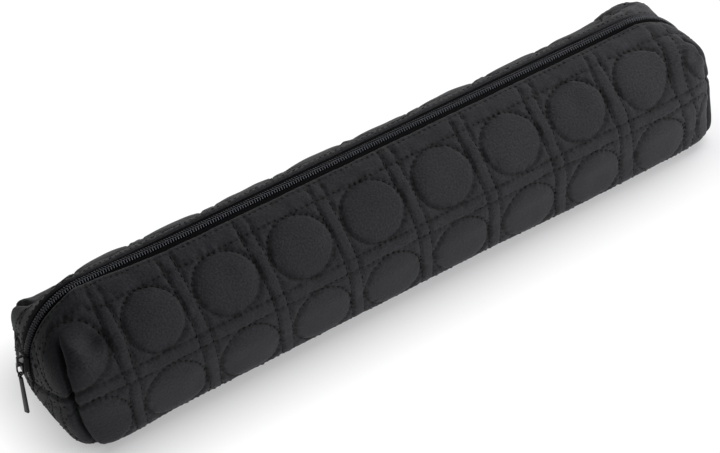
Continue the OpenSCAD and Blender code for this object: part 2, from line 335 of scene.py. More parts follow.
def through(x, from_x, to_x):
    """Straight runs from one list of places to another, as the cloth is gathered."""
    out = to_x[0] + 0.0 * x
    for a, b, c, d in zip(from_x[:-1], from_x[1:], to_x[:-1], to_x[1:]):
        out = out + np.clip((x - a) / (b - a), 0, 1) * (d - c)
    return out


def pattern_s(edge):
    """Matching heights on the case and in the pattern, which is eased at the zip."""
    return (edge - 3.0, edge + TOPSTITCH, 17.8, 200.0), (9.0, ROW_LINE, 17.8, 200.0)


def lift(u, s):
    """How much higher the pattern lies at the left corners, where the cloth is drawn up."""
    return 3.0 * rise(-u, 146, 154) * fall(s, 18, 40) * rise(s, 9, 14)


def noise(points, size, seed):
    """Smooth value noise between -1 and 1."""
    q = points / size
    base = np.floor(q).astype(np.int64)
    f = q - base
    f = f * f * (3 - 2 * f)
    total = 0
    for corner in range(8):
        o = np.array([corner & 1, corner >> 1 & 1, corner >> 2 & 1])
        c = base + o
        h = (c[..., 0] * 73856093) ^ (c[..., 1] * 19349663) ^ (c[..., 2] * 83492791)
        h = (h ^ (seed * 2654435761)) & 0xFFFFFFFF
        h = (h * 1103515245 + 12345) & 0x7FFFFFFF
        h = (h ^ (h >> 13)) * 1274126177 & 0x7FFFFFFF
        w = np.prod(np.where(o == 1, f, 1 - f), -1)
        total = total + w * (h / 0x3FFFFFFF - 1)
    return total


def groove(d, depth, width):
    """A rounded groove, deepest where d is 0."""
    return -depth * bump(d, width)


def puff_place(pu, ps):
    """Distance from the nearest puff's middle, and from it along and across."""
    du = (pu - FIRST_PUFF + PITCH / 2) % PITCH - PITCH / 2
    ds = (ps - FIRST_ROW + ROW_PITCH / 2) % ROW_PITCH - ROW_PITCH / 2
    return np.hypot(du, ds), du, ds


def line_gap(d, pitch):
    """Distance to the nearer of the two stitched lines, and to the middle of their band."""
    left = (d + pitch / 2) % pitch - pitch / 2
    near = (pitch - LINE_FAR, -LINE_NEAR)
    to_lines = np.minimum(np.abs(left - near[0]), np.abs(left - near[1]))
    wrap = np.where(left > 0, left - pitch / 2, left + pitch / 2)
    middle = (near[0] - pitch / 2 + near[1] + pitch / 2) / 2
    return to_lines, np.abs(wrap - middle)


# Heights of the wadding over the rounds, in the bands and in the corners, and half a band
DOME_H, BAND_H, SPARE_H = 1.7, 0.62, 0.55
BAND_HALF = 3.1


def loft(pu, ps):
    """How full the wadding is: domes over the rounds, low ridges in the bands between."""
    r, du, ds = puff_place(pu, ps)
    across, band_u = line_gap(du, PITCH)
    along, band_s = line_gap(ds, ROW_PITCH)
    dome = DOME_H * np.clip(1 - (r / (PUFF_R - 0.4)) ** 3.4, 0, 1) ** 0.85
    lines = np.minimum(across, along)
    corner = SPARE_H * rise(np.minimum(lines, r - PUFF_R), 0.3, 3.2)
    ridges = [
        np.sqrt(np.clip(1 - (band / BAND_HALF) ** 2, 0, 1)) * rise(line, 0, 2.5)
        for band, line in ((band_u, along), (band_s, across))
    ]
    in_band = (band_u < BAND_HALF) | (band_s < BAND_HALF)
    flat = np.where(in_band, BAND_H * np.maximum(*ridges), corner)
    return np.where(r < PUFF_R, dome, flat), r, du, ds, across, along


def stitch_pull(r, du, ds, across, along, pu, ps, place):
    """The narrow valleys along the stitching, deeper at each needle hole."""
    count = round(2 * math.pi * PUFF_R / STITCH)
    height = groove(r - PUFF_R, 0.85, 0.75) * (0.7 + 0.3 * np.cos(count * np.arctan2(ds, du)))
    for gap, way in ((across, ps), (along, pu)):
        holes = 0.7 + 0.3 * np.cos(2 * np.pi * way / STITCH)
        height = height + groove(gap, 0.65, 0.8) * holes
    lines = np.minimum(across, along)
    near = bump(r - PUFF_R, 2.6) + bump(lines, 2.2)
    return height + 0.36 * np.clip(near, 0, 1) * noise(place, 2.6, 5)


# ---------------------------------------------------------------- ends of the case

# The pleat at each corner, from its top down to the base
PLEAT_X = (165.8, 167.9, 170.8, 172.8, 173.4, 172.2, 169.5, 168.0)
PLEAT_Y = (14.5, 20.1, 28.6, 33.0, 34.2, 34.2, 31.1, 29.0)
PLEAT_Z = (58.2, 54.7, 49.4, 42.3, 34.7, 22.2, 5.4, 0.0)
PLEAT = np.stack([PLEAT_X, PLEAT_Y, PLEAT_Z], -1)


# The way from the end's corner to the long wall, and the ear beside the pleat: how high it
# stands, how deep the pleat is cut and how far its lip leans
TO_WALL = (0.77, 0.64)
EAR_H, PLEAT_CUT, EAR_LEAN = 0.9, 6.0, 1.3


def nearest(q, line):
    """Distance to a line of corner points, how far along it, and the way out from it."""
    best = np.full(q.shape[:-1], 1e9)
    along = np.zeros(q.shape[:-1])
    out = np.zeros(q.shape)
    for i, (a, b) in enumerate(zip(line[:-1], line[1:])):
        d = b - a
        t = np.clip(((q - a) @ d) / (d @ d), 0, 1)
        off = q - (a + t[..., None] * d)
        dist = size_of(off)
        nearer = dist < best
        best = np.where(nearer, dist, best)
        along = np.where(nearer, (i + t) / (len(line) - 1), along)
        out = np.where(nearer[..., None], off, out)
    return best, along, out


def at_corner(p):
    """The points of a half mirrored to where the corner's lines are given."""
    return p * (np.sign(p[..., :1]) * (1, 0, 0) + (0, -1, 1))


def pleat_place(p):
    """Distance to the pleat, how far down it, and which side: above 0 towards the long wall."""
    best, down, out = nearest(at_corner(p), PLEAT)
    return best, down, out @ np.array([-TO_WALL[0], TO_WALL[1], 0.0])


def ends(p, n):
    """Moves the points near the four corners into pleats and ears."""
    dist, down, side = pleat_place(p)
    s = np.sign(side) * dist
    top, foot = rise(down, 0.0, 0.12), rise(down, 0.8, 1.0)
    shape = top * (1 - 0.8 * foot)
    ear = rise(s, 0.0, 4.0) * fall(s, 6.0, 20.0)
    cut = bump(s, 1.7) * rise(down, 0.09, 0.2) * (1 - 0.65 * foot)
    height = EAR_H * ear * shape - PLEAT_CUT * cut
    out = p + n * height[..., None]
    # The ear's lip leans over the pleat, towards the end
    lean = bump(s - 2.6, 2.2) * shape * EAR_LEAN
    away = np.sign(p[..., :1]) * (TO_WALL[0], 0, 0) + (0, TO_WALL[1], 0)
    return out + away * lean[..., None]


# ---------------------------------------------------------------- quilted panels

# The seam across each end, from the zip's lower end out to the pleat
SEAM_X = (180.5, 180.4, 179.3, 176.9, 173.4)
SEAM_Y = (0.0, 10.0, 21.0, 29.9, 34.2)
SEAM_Z = (26.0, 29.5, 33.0, 34.3, 34.7)
END_SEAM = np.stack([SEAM_X, SEAM_Y, SEAM_Z], -1)
# Dents and rises of the two sides: place, size and how far the cloth stands out, in mm
DENTS = {
    -1: (
        (-156.5, -27.0, 53.3, 5.2, -3.3),
        (-151.0, -29.5, 49.0, 5.0, -0.9),
        (-166.0, -22.5, 54.8, 3.0, 0.9),
        (-164.2, -27.0, 52.0, 3.2, 1.1),
        (-163.0, -31.5, 47.5, 4.0, 1.1),
        (166.2, -30.8, 50.6, 3.0, -1.8),
    ),
    1: (
        (170.0, 20.0, 57.0, 10.0, 4.6),
        (-180.0, 17.0, 33.0, 9.0, -2.2),
    ),
}
# How far the front wall's foot stands out, and how much more to the right and by the
# left corner; how full the left end is below the zip
FOOT_OUT, FOOT_RIGHT, FOOT_LEFT, LEFT_FULL = 2.4, 1.5, 3.0, 1.6
# How far the back's shoulder has sunk: in the middle, towards the left end and at it, and
# at the right end
SUNK, SUNK_LEFT, SUNK_LEFT_END, SUNK_RIGHT = 3.3, 5.6, 1.5, 0.6
# The fold of the front's right corner: how far it stands out at each height
FOLD_Z = (0, 5, 12, 24, 42, 48, 54, 60)
FOLD_OUT = (0.6, 0.4, -0.6, -2.6, -2.4, 0.4, 2.8, 1.0)
# Thickness of the quilted panel and of its edge along the slot
PANEL_T = 3.2
SLOT_EDGE_T = 2.3
# The lining's place, thickness and ease
LINING_IN, LINING_T, LINING_EASE = 0.1, 0.45, 0.25
# The blown cloth: one point for this many of the fine grid's each way, how long the air
# blows and how far a point may move, and the cloth's own settings
COARSE, BLOWN_FRAMES, BLOWN_MOST = 2, 20, 3.0
BLOWN = {
    "quality": 5,
    "mass": 0.12,
    "tension_stiffness": 12,
    "compression_stiffness": 12,
    "shear_stiffness": 6,
    "bending_stiffness": 0.05,
    "use_pressure": True,
    "uniform_pressure_force": 9.0,
    "shrink_min": -0.035,
    "vertex_group_mass": "stitched",
    "pin_stiffness": 1.0,
}


def settled(p, n, side):
    """The form as it really sits: a broad foot, a low back and soft corners."""
    x, y, z = p[..., 0], p[..., 1], p[..., 2]
    out = p.copy()
    foot = FOOT_OUT * fall(z, 0, 38) * fall(-x, 142, 166)
    foot = foot + FOOT_RIGHT * rise(x, 30, 90) * fall(z, 0, 24) * fall(x, 150, 166)
    foot = foot + FOOT_LEFT * bump(x + 158, 15) * fall(z, 3, 26)
    out[..., 1] -= foot * rise(np.abs(y), 0, 24)
    out[..., 0] -= LEFT_FULL * rise(-x, 158, 178) * bump(z - 19, 8)
    if side > 0:
        left, left_end, right = rise(-x, 138, 160), rise(-x, 163, 174), rise(x, 140, 160)
        sunk = SUNK * (1 - left) * (1 - right) + SUNK_LEFT * left * (1 - left_end)
        sunk = sunk + SUNK_LEFT_END * left_end + SUNK_RIGHT * right
        out -= n * (rise(np.abs(y), 4, 15) * rise(z, 22, 40) * sunk)[..., None]
    else:
        # The right end's corner is a sharp fold with a square foot
        near = bump(x - 170, 9) * bump(np.abs(y) - 29, 10)
        out += np.array([0.82, -0.57, 0.0]) * (near * np.interp(z, FOLD_Z, FOLD_OUT))[..., None]
    return out


def grid_normals(p, outward):
    """Directions out of a grid of points, on the side of outward."""
    n = np.cross(np.gradient(p, axis=1), np.gradient(p, axis=0))
    n = n / np.maximum(np.linalg.norm(n, axis=-1, keepdims=True), 1e-9)
    flip = np.where((n * outward).sum(-1, keepdims=True) < 0, -1.0, 1.0)
    return unit(n * flip + 1e-6 * outward)


def quads(index, flip):
    """The four-sided faces of a grid of points."""
    a, b, c, d = index[:-1, :-1], index[1:, :-1], index[1:, 1:], index[:-1, 1:]
    return np.stack((a, d, c, b) if flip else (a, b, c, d), -1).reshape(-1, 4).tolist()


def new_object(name, data):
    """An object in the scene."""
    piece = bpy.data.objects.new(name, data)
    bpy.context.scene.collection.objects.link(piece)
    return piece


def mesh_piece(name, points, faces, values=None):
    """An object from points in mm, with a number or a UV pair kept at each point."""
    mesh = bpy.data.meshes.new(name)
    mesh.from_pydata((np.asarray(points) * MM).tolist(), [], faces)
    loops = np.zeros(len(mesh.loops), np.int64)
    mesh.loops.foreach_get("vertex_index", loops)
    for key, value in (values or {}).items():
        value = np.asarray(value, np.float32)
        if value.ndim == 2:
            layer = mesh.uv_layers.new(name=key)
            layer.data.foreach_set("uv", value[loops].ravel())
        else:
            layer = mesh.attributes.new(key, "FLOAT", "POINT")
            layer.data.foreach_set("value", value)
    mesh.polygons.foreach_set("use_smooth", [True] * len(mesh.polygons))
    mesh.update()
    return new_object(name, mesh)


def puff_with_air(points, held, outward):
    """Blows the cloth up between its stitching and returns how far each point moved."""
    nu, ns = points.shape[:2]
    index = np.arange(nu * ns).reshape(nu, ns)
    row = 40
    n = np.cross(points[1, row] - points[0, row], points[0, row + 1] - points[0, row])
    faces = quads(index, (n @ outward[0, row]) < 0)
    cloth = mesh_piece("blown_cloth", points.reshape(-1, 3), faces)
    group = cloth.vertex_groups.new(name="stitched")
    group.add(np.flatnonzero(held.ravel()).tolist(), 1.0, "REPLACE")
    blow = cloth.modifiers.new("blow", "CLOTH")
    for key, value in BLOWN.items():
        setattr(blow.settings, key, value)
    blow.settings.effector_weights.gravity = 0.0
    blow.collision_settings.use_collision = False
    blow.point_cache.frame_start = 1
    blow.point_cache.frame_end = BLOWN_FRAMES
    for number in range(1, BLOWN_FRAMES + 1):
        bpy.context.scene.frame_set(number)
    bpy.context.view_layer.update()
    grown = cloth.evaluated_get(bpy.context.evaluated_depsgraph_get()).to_mesh()
    moved = np.zeros(len(grown.vertices) * 3, np.float32)
    grown.vertices.foreach_get("co", moved)
    bpy.context.scene.frame_set(1)
    bpy.data.objects.remove(cloth)
    moved = moved.reshape(nu, ns, 3).astype(float) / MM - points
    far = np.linalg.norm(moved, axis=-1, keepdims=True)
    return moved * np.minimum(1, BLOWN_MOST / np.maximum(far, 1e-6))


def in_grid(grid, column, row):
    """A grid's values at places between its points."""
    c0 = np.clip(column.astype(int), 0, grid.shape[0] - 2)
    r0 = np.clip(row.astype(int), 0, grid.shape[1] - 2)
    f, g = (column - c0)[..., None], (row - r0)[..., None]
    low = grid[c0, r0] * (1 - g) + grid[c0, r0 + 1] * g
    high = grid[c0 + 1, r0] * (1 - g) + grid[c0 + 1, r0 + 1] * g
    return low * (1 - f) + high * f


def finer(coarse, shape):
    """A coarse grid's values at every column and row of the fine grid."""
    along = [np.linspace(0, n - 1, many) for n, many in zip(coarse.shape, shape)]
    return in_grid(coarse, *np.meshgrid(*along, indexing="ij"))


def at_slot(plain, u, s, side):
    """The points by the slot moved nearer to the zip at the ends, where it is narrower."""
    edge = SLOT_EDGE[side]
    closer = NEARER_LEFT[side] * rise(-u, 105, 150) * fall(-u, 194, 204)
    closer = closer + NEARER_RIGHT[side] * (rise(u, 115, 150) if side < 0 else rise(u, 112, 145))
    closer = closer * fall(u, 176, 204) * fall(s, edge, edge + 12)
    to_zip = unit(plain[:, :1] - plain[:, 3:4])
    return plain + to_zip * closer[..., None]


def fullness(plain, u, side):
    """How full the quilting is, 1 on the walls, and which points lie past the pleats."""
    dist, below, toward = pleat_place(plain)
    gentle = 5.0 * fall(below, 0.05, 0.3)
    past = rise(-np.sign(toward) * dist, -0.5 - gentle, 2.5 + gentle) * rise(np.abs(u), 156, 162)
    at_end = np.maximum(past, rise(np.abs(u), 174, 184))
    corner = rise(-u, 148, 152) * (1 - at_end)
    full = 1 - (1 - END_PUFFS) * np.maximum(at_end, rise(u, 158, 166))
    full = full * (1 - CORNER_PUFFS[side] * corner)
    full = full * (1 - 0.45 * bump(dist, 7) * rise(np.abs(u), 140, 150))
    return full, at_end


def puffed(shaped, n, body, fill, held):
    """How far the cloth stands out between its stitching: it is blown up with air."""
    start = n * (0.6 * body)[..., None]
    thin = (slice(None, None, COARSE), slice(None, None, COARSE))
    moved = puff_with_air((shaped + start)[thin], held[thin], n[thin])
    return start + finer(moved, body.shape) * fill[..., None]


def quilted_half(side):
    """The surfaces of one half of the quilted cover, with its pattern's coordinates."""
    edge = SLOT_EDGE[side]
    plain, u, s = panel_grid(edge)
    plain = at_slot(plain, u, s, side)
    n = form_normal(plain)
    n[:, -1] = (0, 0, -1)
    mirror = np.array([1.0, side * -1.0, 1.0])
    pu = through(u, knots(s), PATTERN_U)
    ps = through(s, *pattern_s(edge)) + lift(u, s)
    shaped = settled(ends(plain, n), n, side)
    n2 = grid_normals(shaped, n)
    place = shaped * mirror
    height, r, du, ds, across, along = loft(pu, ps)
    on_wall = rise(plain[..., 2], 0.5, 7.0)
    by_slot = rise(s, edge, edge + 7.0)
    full, at_end = fullness(plain, u, side)
    fill = (0.12 + 0.88 * on_wall) * (0.3 + 0.7 * by_slot) * full
    body = height * (1 + 0.14 * noise(place, 30.0, 3)) * fill
    held = (np.abs(r - PUFF_R) < 1.0) | ((np.minimum(across, along) < 0.95) & (r > PUFF_R))
    held = held | (on_wall < 0.05)
    held[:, :3] = held[:, -3:] = held[:3] = held[-3:] = True
    blown = puffed(shaped, n2, body, fill, held)
    pull = stitch_pull(r, du, ds, across, along, pu, ps, place)
    fine = pull * (0.3 + 0.7 * on_wall) * (0.35 + 0.65 * by_slot) * (1 - 0.6 * at_end)
    for depth, size, seed in ((0.55, 24.0, 11), (0.25, 9.0, 12)):
        fine = fine + depth * noise(place, size, seed) * on_wall * by_slot
    fine = fine - 0.9 * fall(s, edge, edge + 1.6)
    seam = nearest(at_corner(plain), END_SEAM)[0]
    fine = fine + groove(seam, 1.4, 1.2) * rise(np.abs(u), 166, 172)
    for x, y, z, size, push in DENTS[side]:
        far = size_of(plain * mirror - (x, y, z))
        fine = fine + push * bump(far, size)
    outer = shaped + blown + n2 * fine[..., None]
    outer[..., 2] = np.maximum(outer[..., 2], 0.0)
    inner = shaped - n2 * PANEL_T
    inner[:, 0] = shaped[:, 0] - n[:, 0] * SLOT_EDGE_T
    inner[..., 2] = np.maximum(inner[..., 2], PANEL_T * rise(-plain[..., 2], -6.0, 0.0))
    # The cloth is rubbed lighter where it stands out, and painted darker in the stitched valleys,
    # as dust and painted shade
    wear_and_valley_shade = np.clip(((outer - shaped) * n2).sum(-1) / 2.0, -0.5, 1.0)
    wear_and_valley_shade = np.maximum(wear_and_valley_shade + 2.4 * np.minimum(pull, 0) * rise(s, edge, edge + 5.0), -2.3)
    up = grid_normals(outer, n2) * mirror
    grids = {"outer": outer * mirror, "inner": inner * mirror, "up": up, "wear_and_valley_shade": wear_and_valley_shade}
    return {**grids, "u": u, "s": s, "side": side, "edge": edge}


def closed_sheet(name, top, low, uv, flip, step=1, wear_and_valley_shade=None):
    """A closed sheet between two grids of points, the low one with every step-th row."""
    nu, ns = top.shape[:2]
    rows = low.shape[1]
    a = np.arange(nu * ns).reshape(nu, ns)
    b = nu * ns + np.arange(nu * rows).reshape(nu, rows)
    faces = quads(a, flip) + quads(b, not flip)
    for row, turn in ((0, flip), (-1, not flip)):
        o, i = a[:, row], b[:, row]
        strip = np.stack([o[:-1], o[1:], i[1:], i[:-1]], -1)
        faces += (strip if turn else strip[:, ::-1]).tolist()
    for column, turn in ((0, not flip), (-1, flip)):
        for m in range(rows - 1):
            face = a[column, m * step : (m + 1) * step + 1].tolist()
            face += [int(b[column, m + 1]), int(b[column, m])]
            faces.append(face if turn else face[::-1])
    points = np.concatenate([top.reshape(-1, 3), low.reshape(-1, 3)])
    uv = np.concatenate([uv.reshape(-1, 2), uv[:, ::step].reshape(-1, 2)]) * MM
    values = {"cloth": uv}
    # A value kept at each point: lighter crests for wear, darker valleys for dust and painted
    # shade
    if wear_and_valley_shade is not None:
        values["wear_and_valley_shade"] = np.concatenate([wear_and_valley_shade.ravel(), np.zeros(b.size)])
    return mesh_piece(name, points, faces, values)


def quilted_panel(name, half):
    """One half of the cover with its wadding: a closed shell, quilted outside, plain inside."""
    inner = half["inner"][:, ::INSIDE_STEP]
    uv = np.stack([half["u"], half["s"]], -1)
    return closed_sheet(
        name, half["outer"], inner, uv, half["side"] < 0, INSIDE_STEP, half["wear_and_valley_shade"]
    )


def lining_cloth(name, half):
    """The thin lining, a little inside the panel's plain inner face, from the tape down."""
    face, up, u, s = (half[key][::4, ::3] for key in ("inner", "up", "u", "s"))
    n = grid_normals(face, up)[:, 2:]
    face = face[:, 2:]
    ease = LINING_EASE * (1 + noise(face, 14.0, 21))[..., None]
    uv = np.stack([u, s], -1)[:, 2:]
    low = face - n * (LINING_IN + LINING_T + ease)
    return closed_sheet(name, face - n * LINING_IN, low, uv, half["side"] < 0)


def open_with(piece):
    """The piece's place and turn kept in its mesh."""
    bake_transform(piece)


# ---------------------------------------------------------------- shaping by hand


def fresh():
    """Object mode with nothing selected."""
    if bpy.context.object and bpy.context.object.mode != "OBJECT":
        bpy.ops.object.mode_set(mode="OBJECT")
    bpy.ops.object.select_all(action="DESELECT")


def keep_place():
    """The piece at hand keeps its place, turn and size in its mesh."""
    bpy.ops.object.transform_apply(location=True, rotation=True, scale=True)


def start_edit(picked=None):
    """Edit mode with the chosen points selected, or all of them."""
    mesh = bpy.context.object.data
    for v in mesh.vertices:
        v.select = picked is None or picked(v.co)
    for part in (*mesh.edges, *mesh.polygons):
        part.select = all(mesh.vertices[k].select for k in part.vertices)
    bpy.ops.object.mode_set(mode="EDIT")


def reshape(picked=None, size=(1, 1, 1), middle=(0, 0, 0), move=(0, 0, 0)):
    """The chosen points of the piece at hand, resized about a middle and then moved."""
    start_edit(picked)
    bpy.ops.transform.resize(value=size, center_override=middle)
    bpy.ops.transform.translate(value=move)
    bpy.ops.mesh.select_all(action="DESELECT")
    bpy.ops.object.mode_set(mode="OBJECT")


def settle_down(piece, place, turn=(0, 0, 0)):
    """Turns the piece, moves it to its place in mm, and keeps both in its mesh."""
    fresh()
    piece.select_set(True)
    bpy.context.view_layer.objects.active = piece
    piece.rotation_euler = turn
    piece.location = Vector(place) * MM
    keep_place()


def cut_rod(radius, length, turn, axis, cuts):
    """A six-sided rod, turned from upright, with a ring of points at each cut along axis."""
    fresh()
    bpy.ops.mesh.primitive_cylinder_add(vertices=6, radius=radius, depth=length, rotation=turn)
    bpy.ops.object.transform_apply(location=False, rotation=True, scale=False)
    bpy.ops.object.mode_set(mode="EDIT")
    for at in cuts:
        bpy.ops.mesh.select_all(action="SELECT")
        bpy.ops.mesh.bisect(plane_co=[at * k for k in axis], plane_no=axis)
    bpy.ops.object.mode_set(mode="OBJECT")


def taken_up():
    """The points and faces of the piece at hand, which is then removed."""
    piece = bpy.context.object
    points = np.array([v.co for v in piece.data.vertices])
    faces = [list(f.vertices) for f in piece.data.polygons]
    bpy.data.objects.remove(piece)
    return points, faces


def copies(name, shape, shape_faces, place, axes):
    """One piece of many copies of a small shape, each with its own place and three axes."""
    points = place[:, None]
    for k, axis in enumerate(axes):
        points = points + shape[None, :, k : k + 1] * axis[:, None]
    many, count = points.shape[:2]
    faces = [[k * count + v for v in face] for k in range(many) for face in shape_faces]
    return mesh_piece(name, points.reshape(-1, 3), faces)


# ---------------------------------------------------------------- stitching


def surface_at(half, pu, ps):
    """Places and normals on the quilted surface for points of the pattern."""
    on_case, in_pattern = pattern_s(half["edge"])
    ps = through(ps, in_pattern, on_case)
    u_of = through(pu, PATTERN_U, knots(ps))
    ps = ps - lift(u_of, ps - lift(u_of, ps - 2.0))
    nu, ns = half["u"].shape
    column = (u_of - half["u"][0, 0]) / (half["u"][1, 0] - half["u"][0, 0])
    ok = (column >= 2) & (column <= nu - 3)
    column = np.clip(column, 0, nu - 1.001)
    c0 = column.astype(int)
    f = (column - c0)[:, None]
    place = up = 0
    for c, share in ((c0, 1 - f), (c0 + 1, f)):
        row = np.array([np.interp(v, half["s"][k], np.arange(ns)) for k, v in zip(c, ps)])
        place = place + share * in_grid(half["outer"], c, row)
        up = up + share * in_grid(half["up"], c, row)
    return place, unit(up), ok


def stitch_rows():
    """Start and end of every stitch of the quilting, in the pattern's coordinates."""
    starts, stops = [], []

    def along(points):
        way = way_along(points[None])[0]
        for k in range(int(way[-1] / STITCH)):
            for part, kept in ((0.12, starts), (0.88, stops)):
                kept.append([np.interp((k + part) * STITCH, way, points[:, i]) for i in range(2)])

    turns = np.linspace(0, 2 * np.pi, 73)
    ring = np.stack([np.cos(turns), np.sin(turns)], -1) * PUFF_R
    for i in range(-2, 10):
        middle = FIRST_PUFF + i * PITCH
        for row in range(-1, 3):
            whole = ring + (middle, FIRST_ROW + row * ROW_PITCH)
            along(whole[whole[:, 1] > ROW_LINE + 0.6])
        for off in (-LINE_NEAR, PITCH - LINE_FAR):
            at = middle + off
            along(np.array([[at, ROW_LINE + 0.4], [at, 88.0]]))
    for row in range(-1, 2):
        for off in (-LINE_NEAR, ROW_PITCH - LINE_FAR):
            at = FIRST_ROW + row * ROW_PITCH + off
            if at > ROW_LINE - 1:
                along(np.array([[PATTERN_U[0] + 4, at], [PATTERN_U[-1] - 4, at]]))
    return np.array(starts), np.array(stops)


def one_stitch():
    """A single stitch: a short thread, thick in its middle and sinking at both ends."""
    cut_rod(0.5, 1.0, (0, math.pi / 2, 0), (1, 0, 0), (-0.22, 0.22))
    reshape(lambda co: abs(co.x) > 0.4, size=(1, 0.55, 0.55), move=(0, 0, -0.75))
    return taken_up()


def stitching(name, half):
    """All the quilting thread of one half, lying in the valleys that it pulls."""
    shape, shape_faces = one_stitch()
    (a, n1, ok1), (b, n2, ok2) = (surface_at(half, *at.T) for at in stitch_rows())
    size = size_of(b - a)
    ok = ok1 & ok2 & (size > 0.6) & (size < 3.4) & (np.minimum(a[:, 2], b[:, 2]) > 1.2)
    a, b, n1, n2, size = a[ok], b[ok], n1[ok], n2[ok], size[ok]
    middle = (a + b) / 2
    along = (b - a) / size[:, None]
    up = unit(n1 + n2)
    across = unit(np.cross(up, along))
    up = np.cross(along, across)
    # No two stitches lie quite alike
    loose = np.random.default_rng(17 + half["side"])
    middle = middle + across * loose.normal(0, 0.16, (len(a), 1))
    turn = loose.normal(0, 0.10, (len(a), 1))
    along, across = unit(along + across * turn), unit(across - along * turn)
    thick = loose.uniform(0.42, 0.72, (len(a), 1))
    drop = loose.uniform(-0.02, 0.24, (len(a), 1))
    length = (size * loose.uniform(0.72, 1.08, len(a)))[:, None]
    axes = (along * length, across * thick, up * thick)
    return copies(name, shape, shape_faces, middle + up * drop, axes)


# ---------------------------------------------------------------- zip

TAPE_DEPTH = 1.1
# How far the zip lies to the front, and how much more and how proud at the right end
ZIP_FRONT, ZIP_FRONT_RIGHT, ZIP_PROUD = 1.3, 1.5, 1.3
# Stations across one tape, with its thick cord edge first
TAPE_ACROSS = (0.62, 0.9, 1.5, 2.1, 2.9, 3.8, 5.0, 6.5, 8.0, 9.0)
CORD_EDGE, CORD_T, TAPE_T = 1.2, 0.5, 0.4
TOOTH_PITCH, TOOTH_STAGGER, TOOTH_OUT = 1.27, 0.32, 0.35
ZIP_REACH = 204.6


def zip_frame(u):
    """Place, direction along and direction out of the case, along the zip."""
    along = unit(zip_line(u + 0.05) - zip_line(u - 0.05))
    out = np.stack([-along[:, 2], 0 * u, along[:, 0]], -1)
    return zip_line(u), along, out


def zip_shift(u, out):
    """The zip lies a little to the front on top, and proud of its slot at the right end."""
    front = ZIP_FRONT * fall(-u, 95, 140) + ZIP_FRONT_RIGHT * rise(u, 115, 150)
    front = front - (ZIP_FRONT + ZIP_FRONT_RIGHT) * rise(u, 176, 204)
    proud = ZIP_PROUD * rise(u, 118, 150) * fall(u, 184, 204)
    return out * proud[:, None] - front[:, None] * np.array([0.0, 1.0, 0.0])


def zip_tape(name, side):
    """One woven tape of the zip, its cord edge at the middle, sewn in under the cover."""
    u = np.linspace(-ZIP_REACH, ZIP_REACH, 641)
    across = np.array(TAPE_ACROSS)
    place, _, out = zip_frame(u)
    drop = across**2 / (2 * CROWN_R)
    thick = np.where(across < CORD_EDGE, CORD_T, TAPE_T)
    y = np.zeros((len(u), len(across), 3))
    y[..., 1] = side * across
    top = place[:, None] + y - out[:, None] * (TAPE_DEPTH + drop)[None, :, None]
    top = top + zip_shift(u, out)[:, None] * fall(across, 2.2, 6.0)[None, :, None]
    low = top - out[:, None] * thick[None, :, None]
    uv = np.stack(np.meshgrid(u, across, indexing="ij"), -1)
    return closed_sheet(name, top, low, uv, side < 0)


def one_tooth():
    """One loop of the coil on one side: over the cord, round, and its head at the middle."""
    inner, outer, cuts = -0.75, 0.75, (-0.45, 0.1, 0.5)
    cut_rod(0.36, 1.5, (math.pi / 2, 0, 0), (0, 1, 0), cuts)
    # The rod leans along the zip and arches over the cord
    for at in (inner, *cuts, outer):
        over = (0.30 * at, 0, 0.28 * math.cos(1.5 * at))
        reshape(lambda co, at=at: abs(co.y - at) < 0.01, move=over)
    reshape(lambda co: co.y < -0.6, size=(0.8, 1, 1), move=(0, 0, -0.35))
    reshape(lambda co: co.y > 0.6, size=(1.35, 1, 1), middle=(0.22, 0, 0), move=(0, 0, -0.12))
    points, faces = taken_up()
    # Its head comes to the middle of the zip
    points[:, 1] = (0.73 - points[:, 1]) * 1.4
    return points, [face[::-1] for face in faces]


def zip_teeth(name, side):
    """The coil of one side of the zip, every loop its own small shape."""
    shape, shape_faces = one_tooth()
    count = int(2 * ZIP_REACH / TOOTH_PITCH)
    u = (np.arange(count) - (count - 1) / 2) * TOOTH_PITCH + side * TOOTH_STAGGER
    place, along, out = zip_frame(u)
    place = place + zip_shift(u, out) - out * (TAPE_DEPTH - TOOTH_OUT)
    sideways = np.zeros_like(place) + (0, side, 0)
    turned = [f if side > 0 else f[::-1] for f in shape_faces]
    return copies(name, shape, turned, place, (along, sideways, out))


# ---------------------------------------------------------------- link and pull bar

SLIDER_TURN = math.radians(12.5)
WIRE_R = 0.40
# The ring: its axis from the middle of the end's turn, how far it reaches above its axis
# and from there down, and half its width
LINK_OUT, LINK_UP, LINK_DROP, LINK_HALF = 37.85, 0.6, 6.55, 1.75
LINK_TWIST = math.radians(25)
BAR_LEAN = math.radians(7.5)
# The bar: thickness, width and length, its middle below the eye, and how it is rounded
BAR_SIZE = (1.5, 2.8, 20.6)
BAR_DOWN = 11.2
BAR_ROUND, BAR_SOFT = 0.78, 0.32
EYE_R, EYE_WIRE_R = 0.99, 0.43


def wire_ring(radius, wire, segments, turn):
    """A round ring of wire, turned from lying flat."""
    fresh()
    bpy.ops.mesh.primitive_torus_add(
        major_radius=radius * MM,
        minor_radius=wire * MM,
        major_segments=segments[0],
        minor_segments=segments[1],
        rotation=turn,
    )
    keep_place()
    return bpy.context.object


def pull_ring():
    """The oval wire link, turned a little in the slider's bail."""
    ring = wire_ring(LINK_HALF, WIRE_R, (40, 12), (0, math.pi / 2, 0))
    ring.name = "pull_ring"
    reshape(lambda co: co.z < -0.01 * MM, move=(0, 0, -(LINK_DROP - 2 * LINK_HALF) * MM))
    settle_down(ring, (0, 0, -LINK_HALF), (0, 0, LINK_TWIST))
    settle_down(ring, (-LINK_OUT, 0, LINK_UP))
    settle_down(ring, (-TURN_X, 0, TURN_Z), (0, SLIDER_TURN, 0))
    bpy.ops.object.shade_smooth()
    return ring


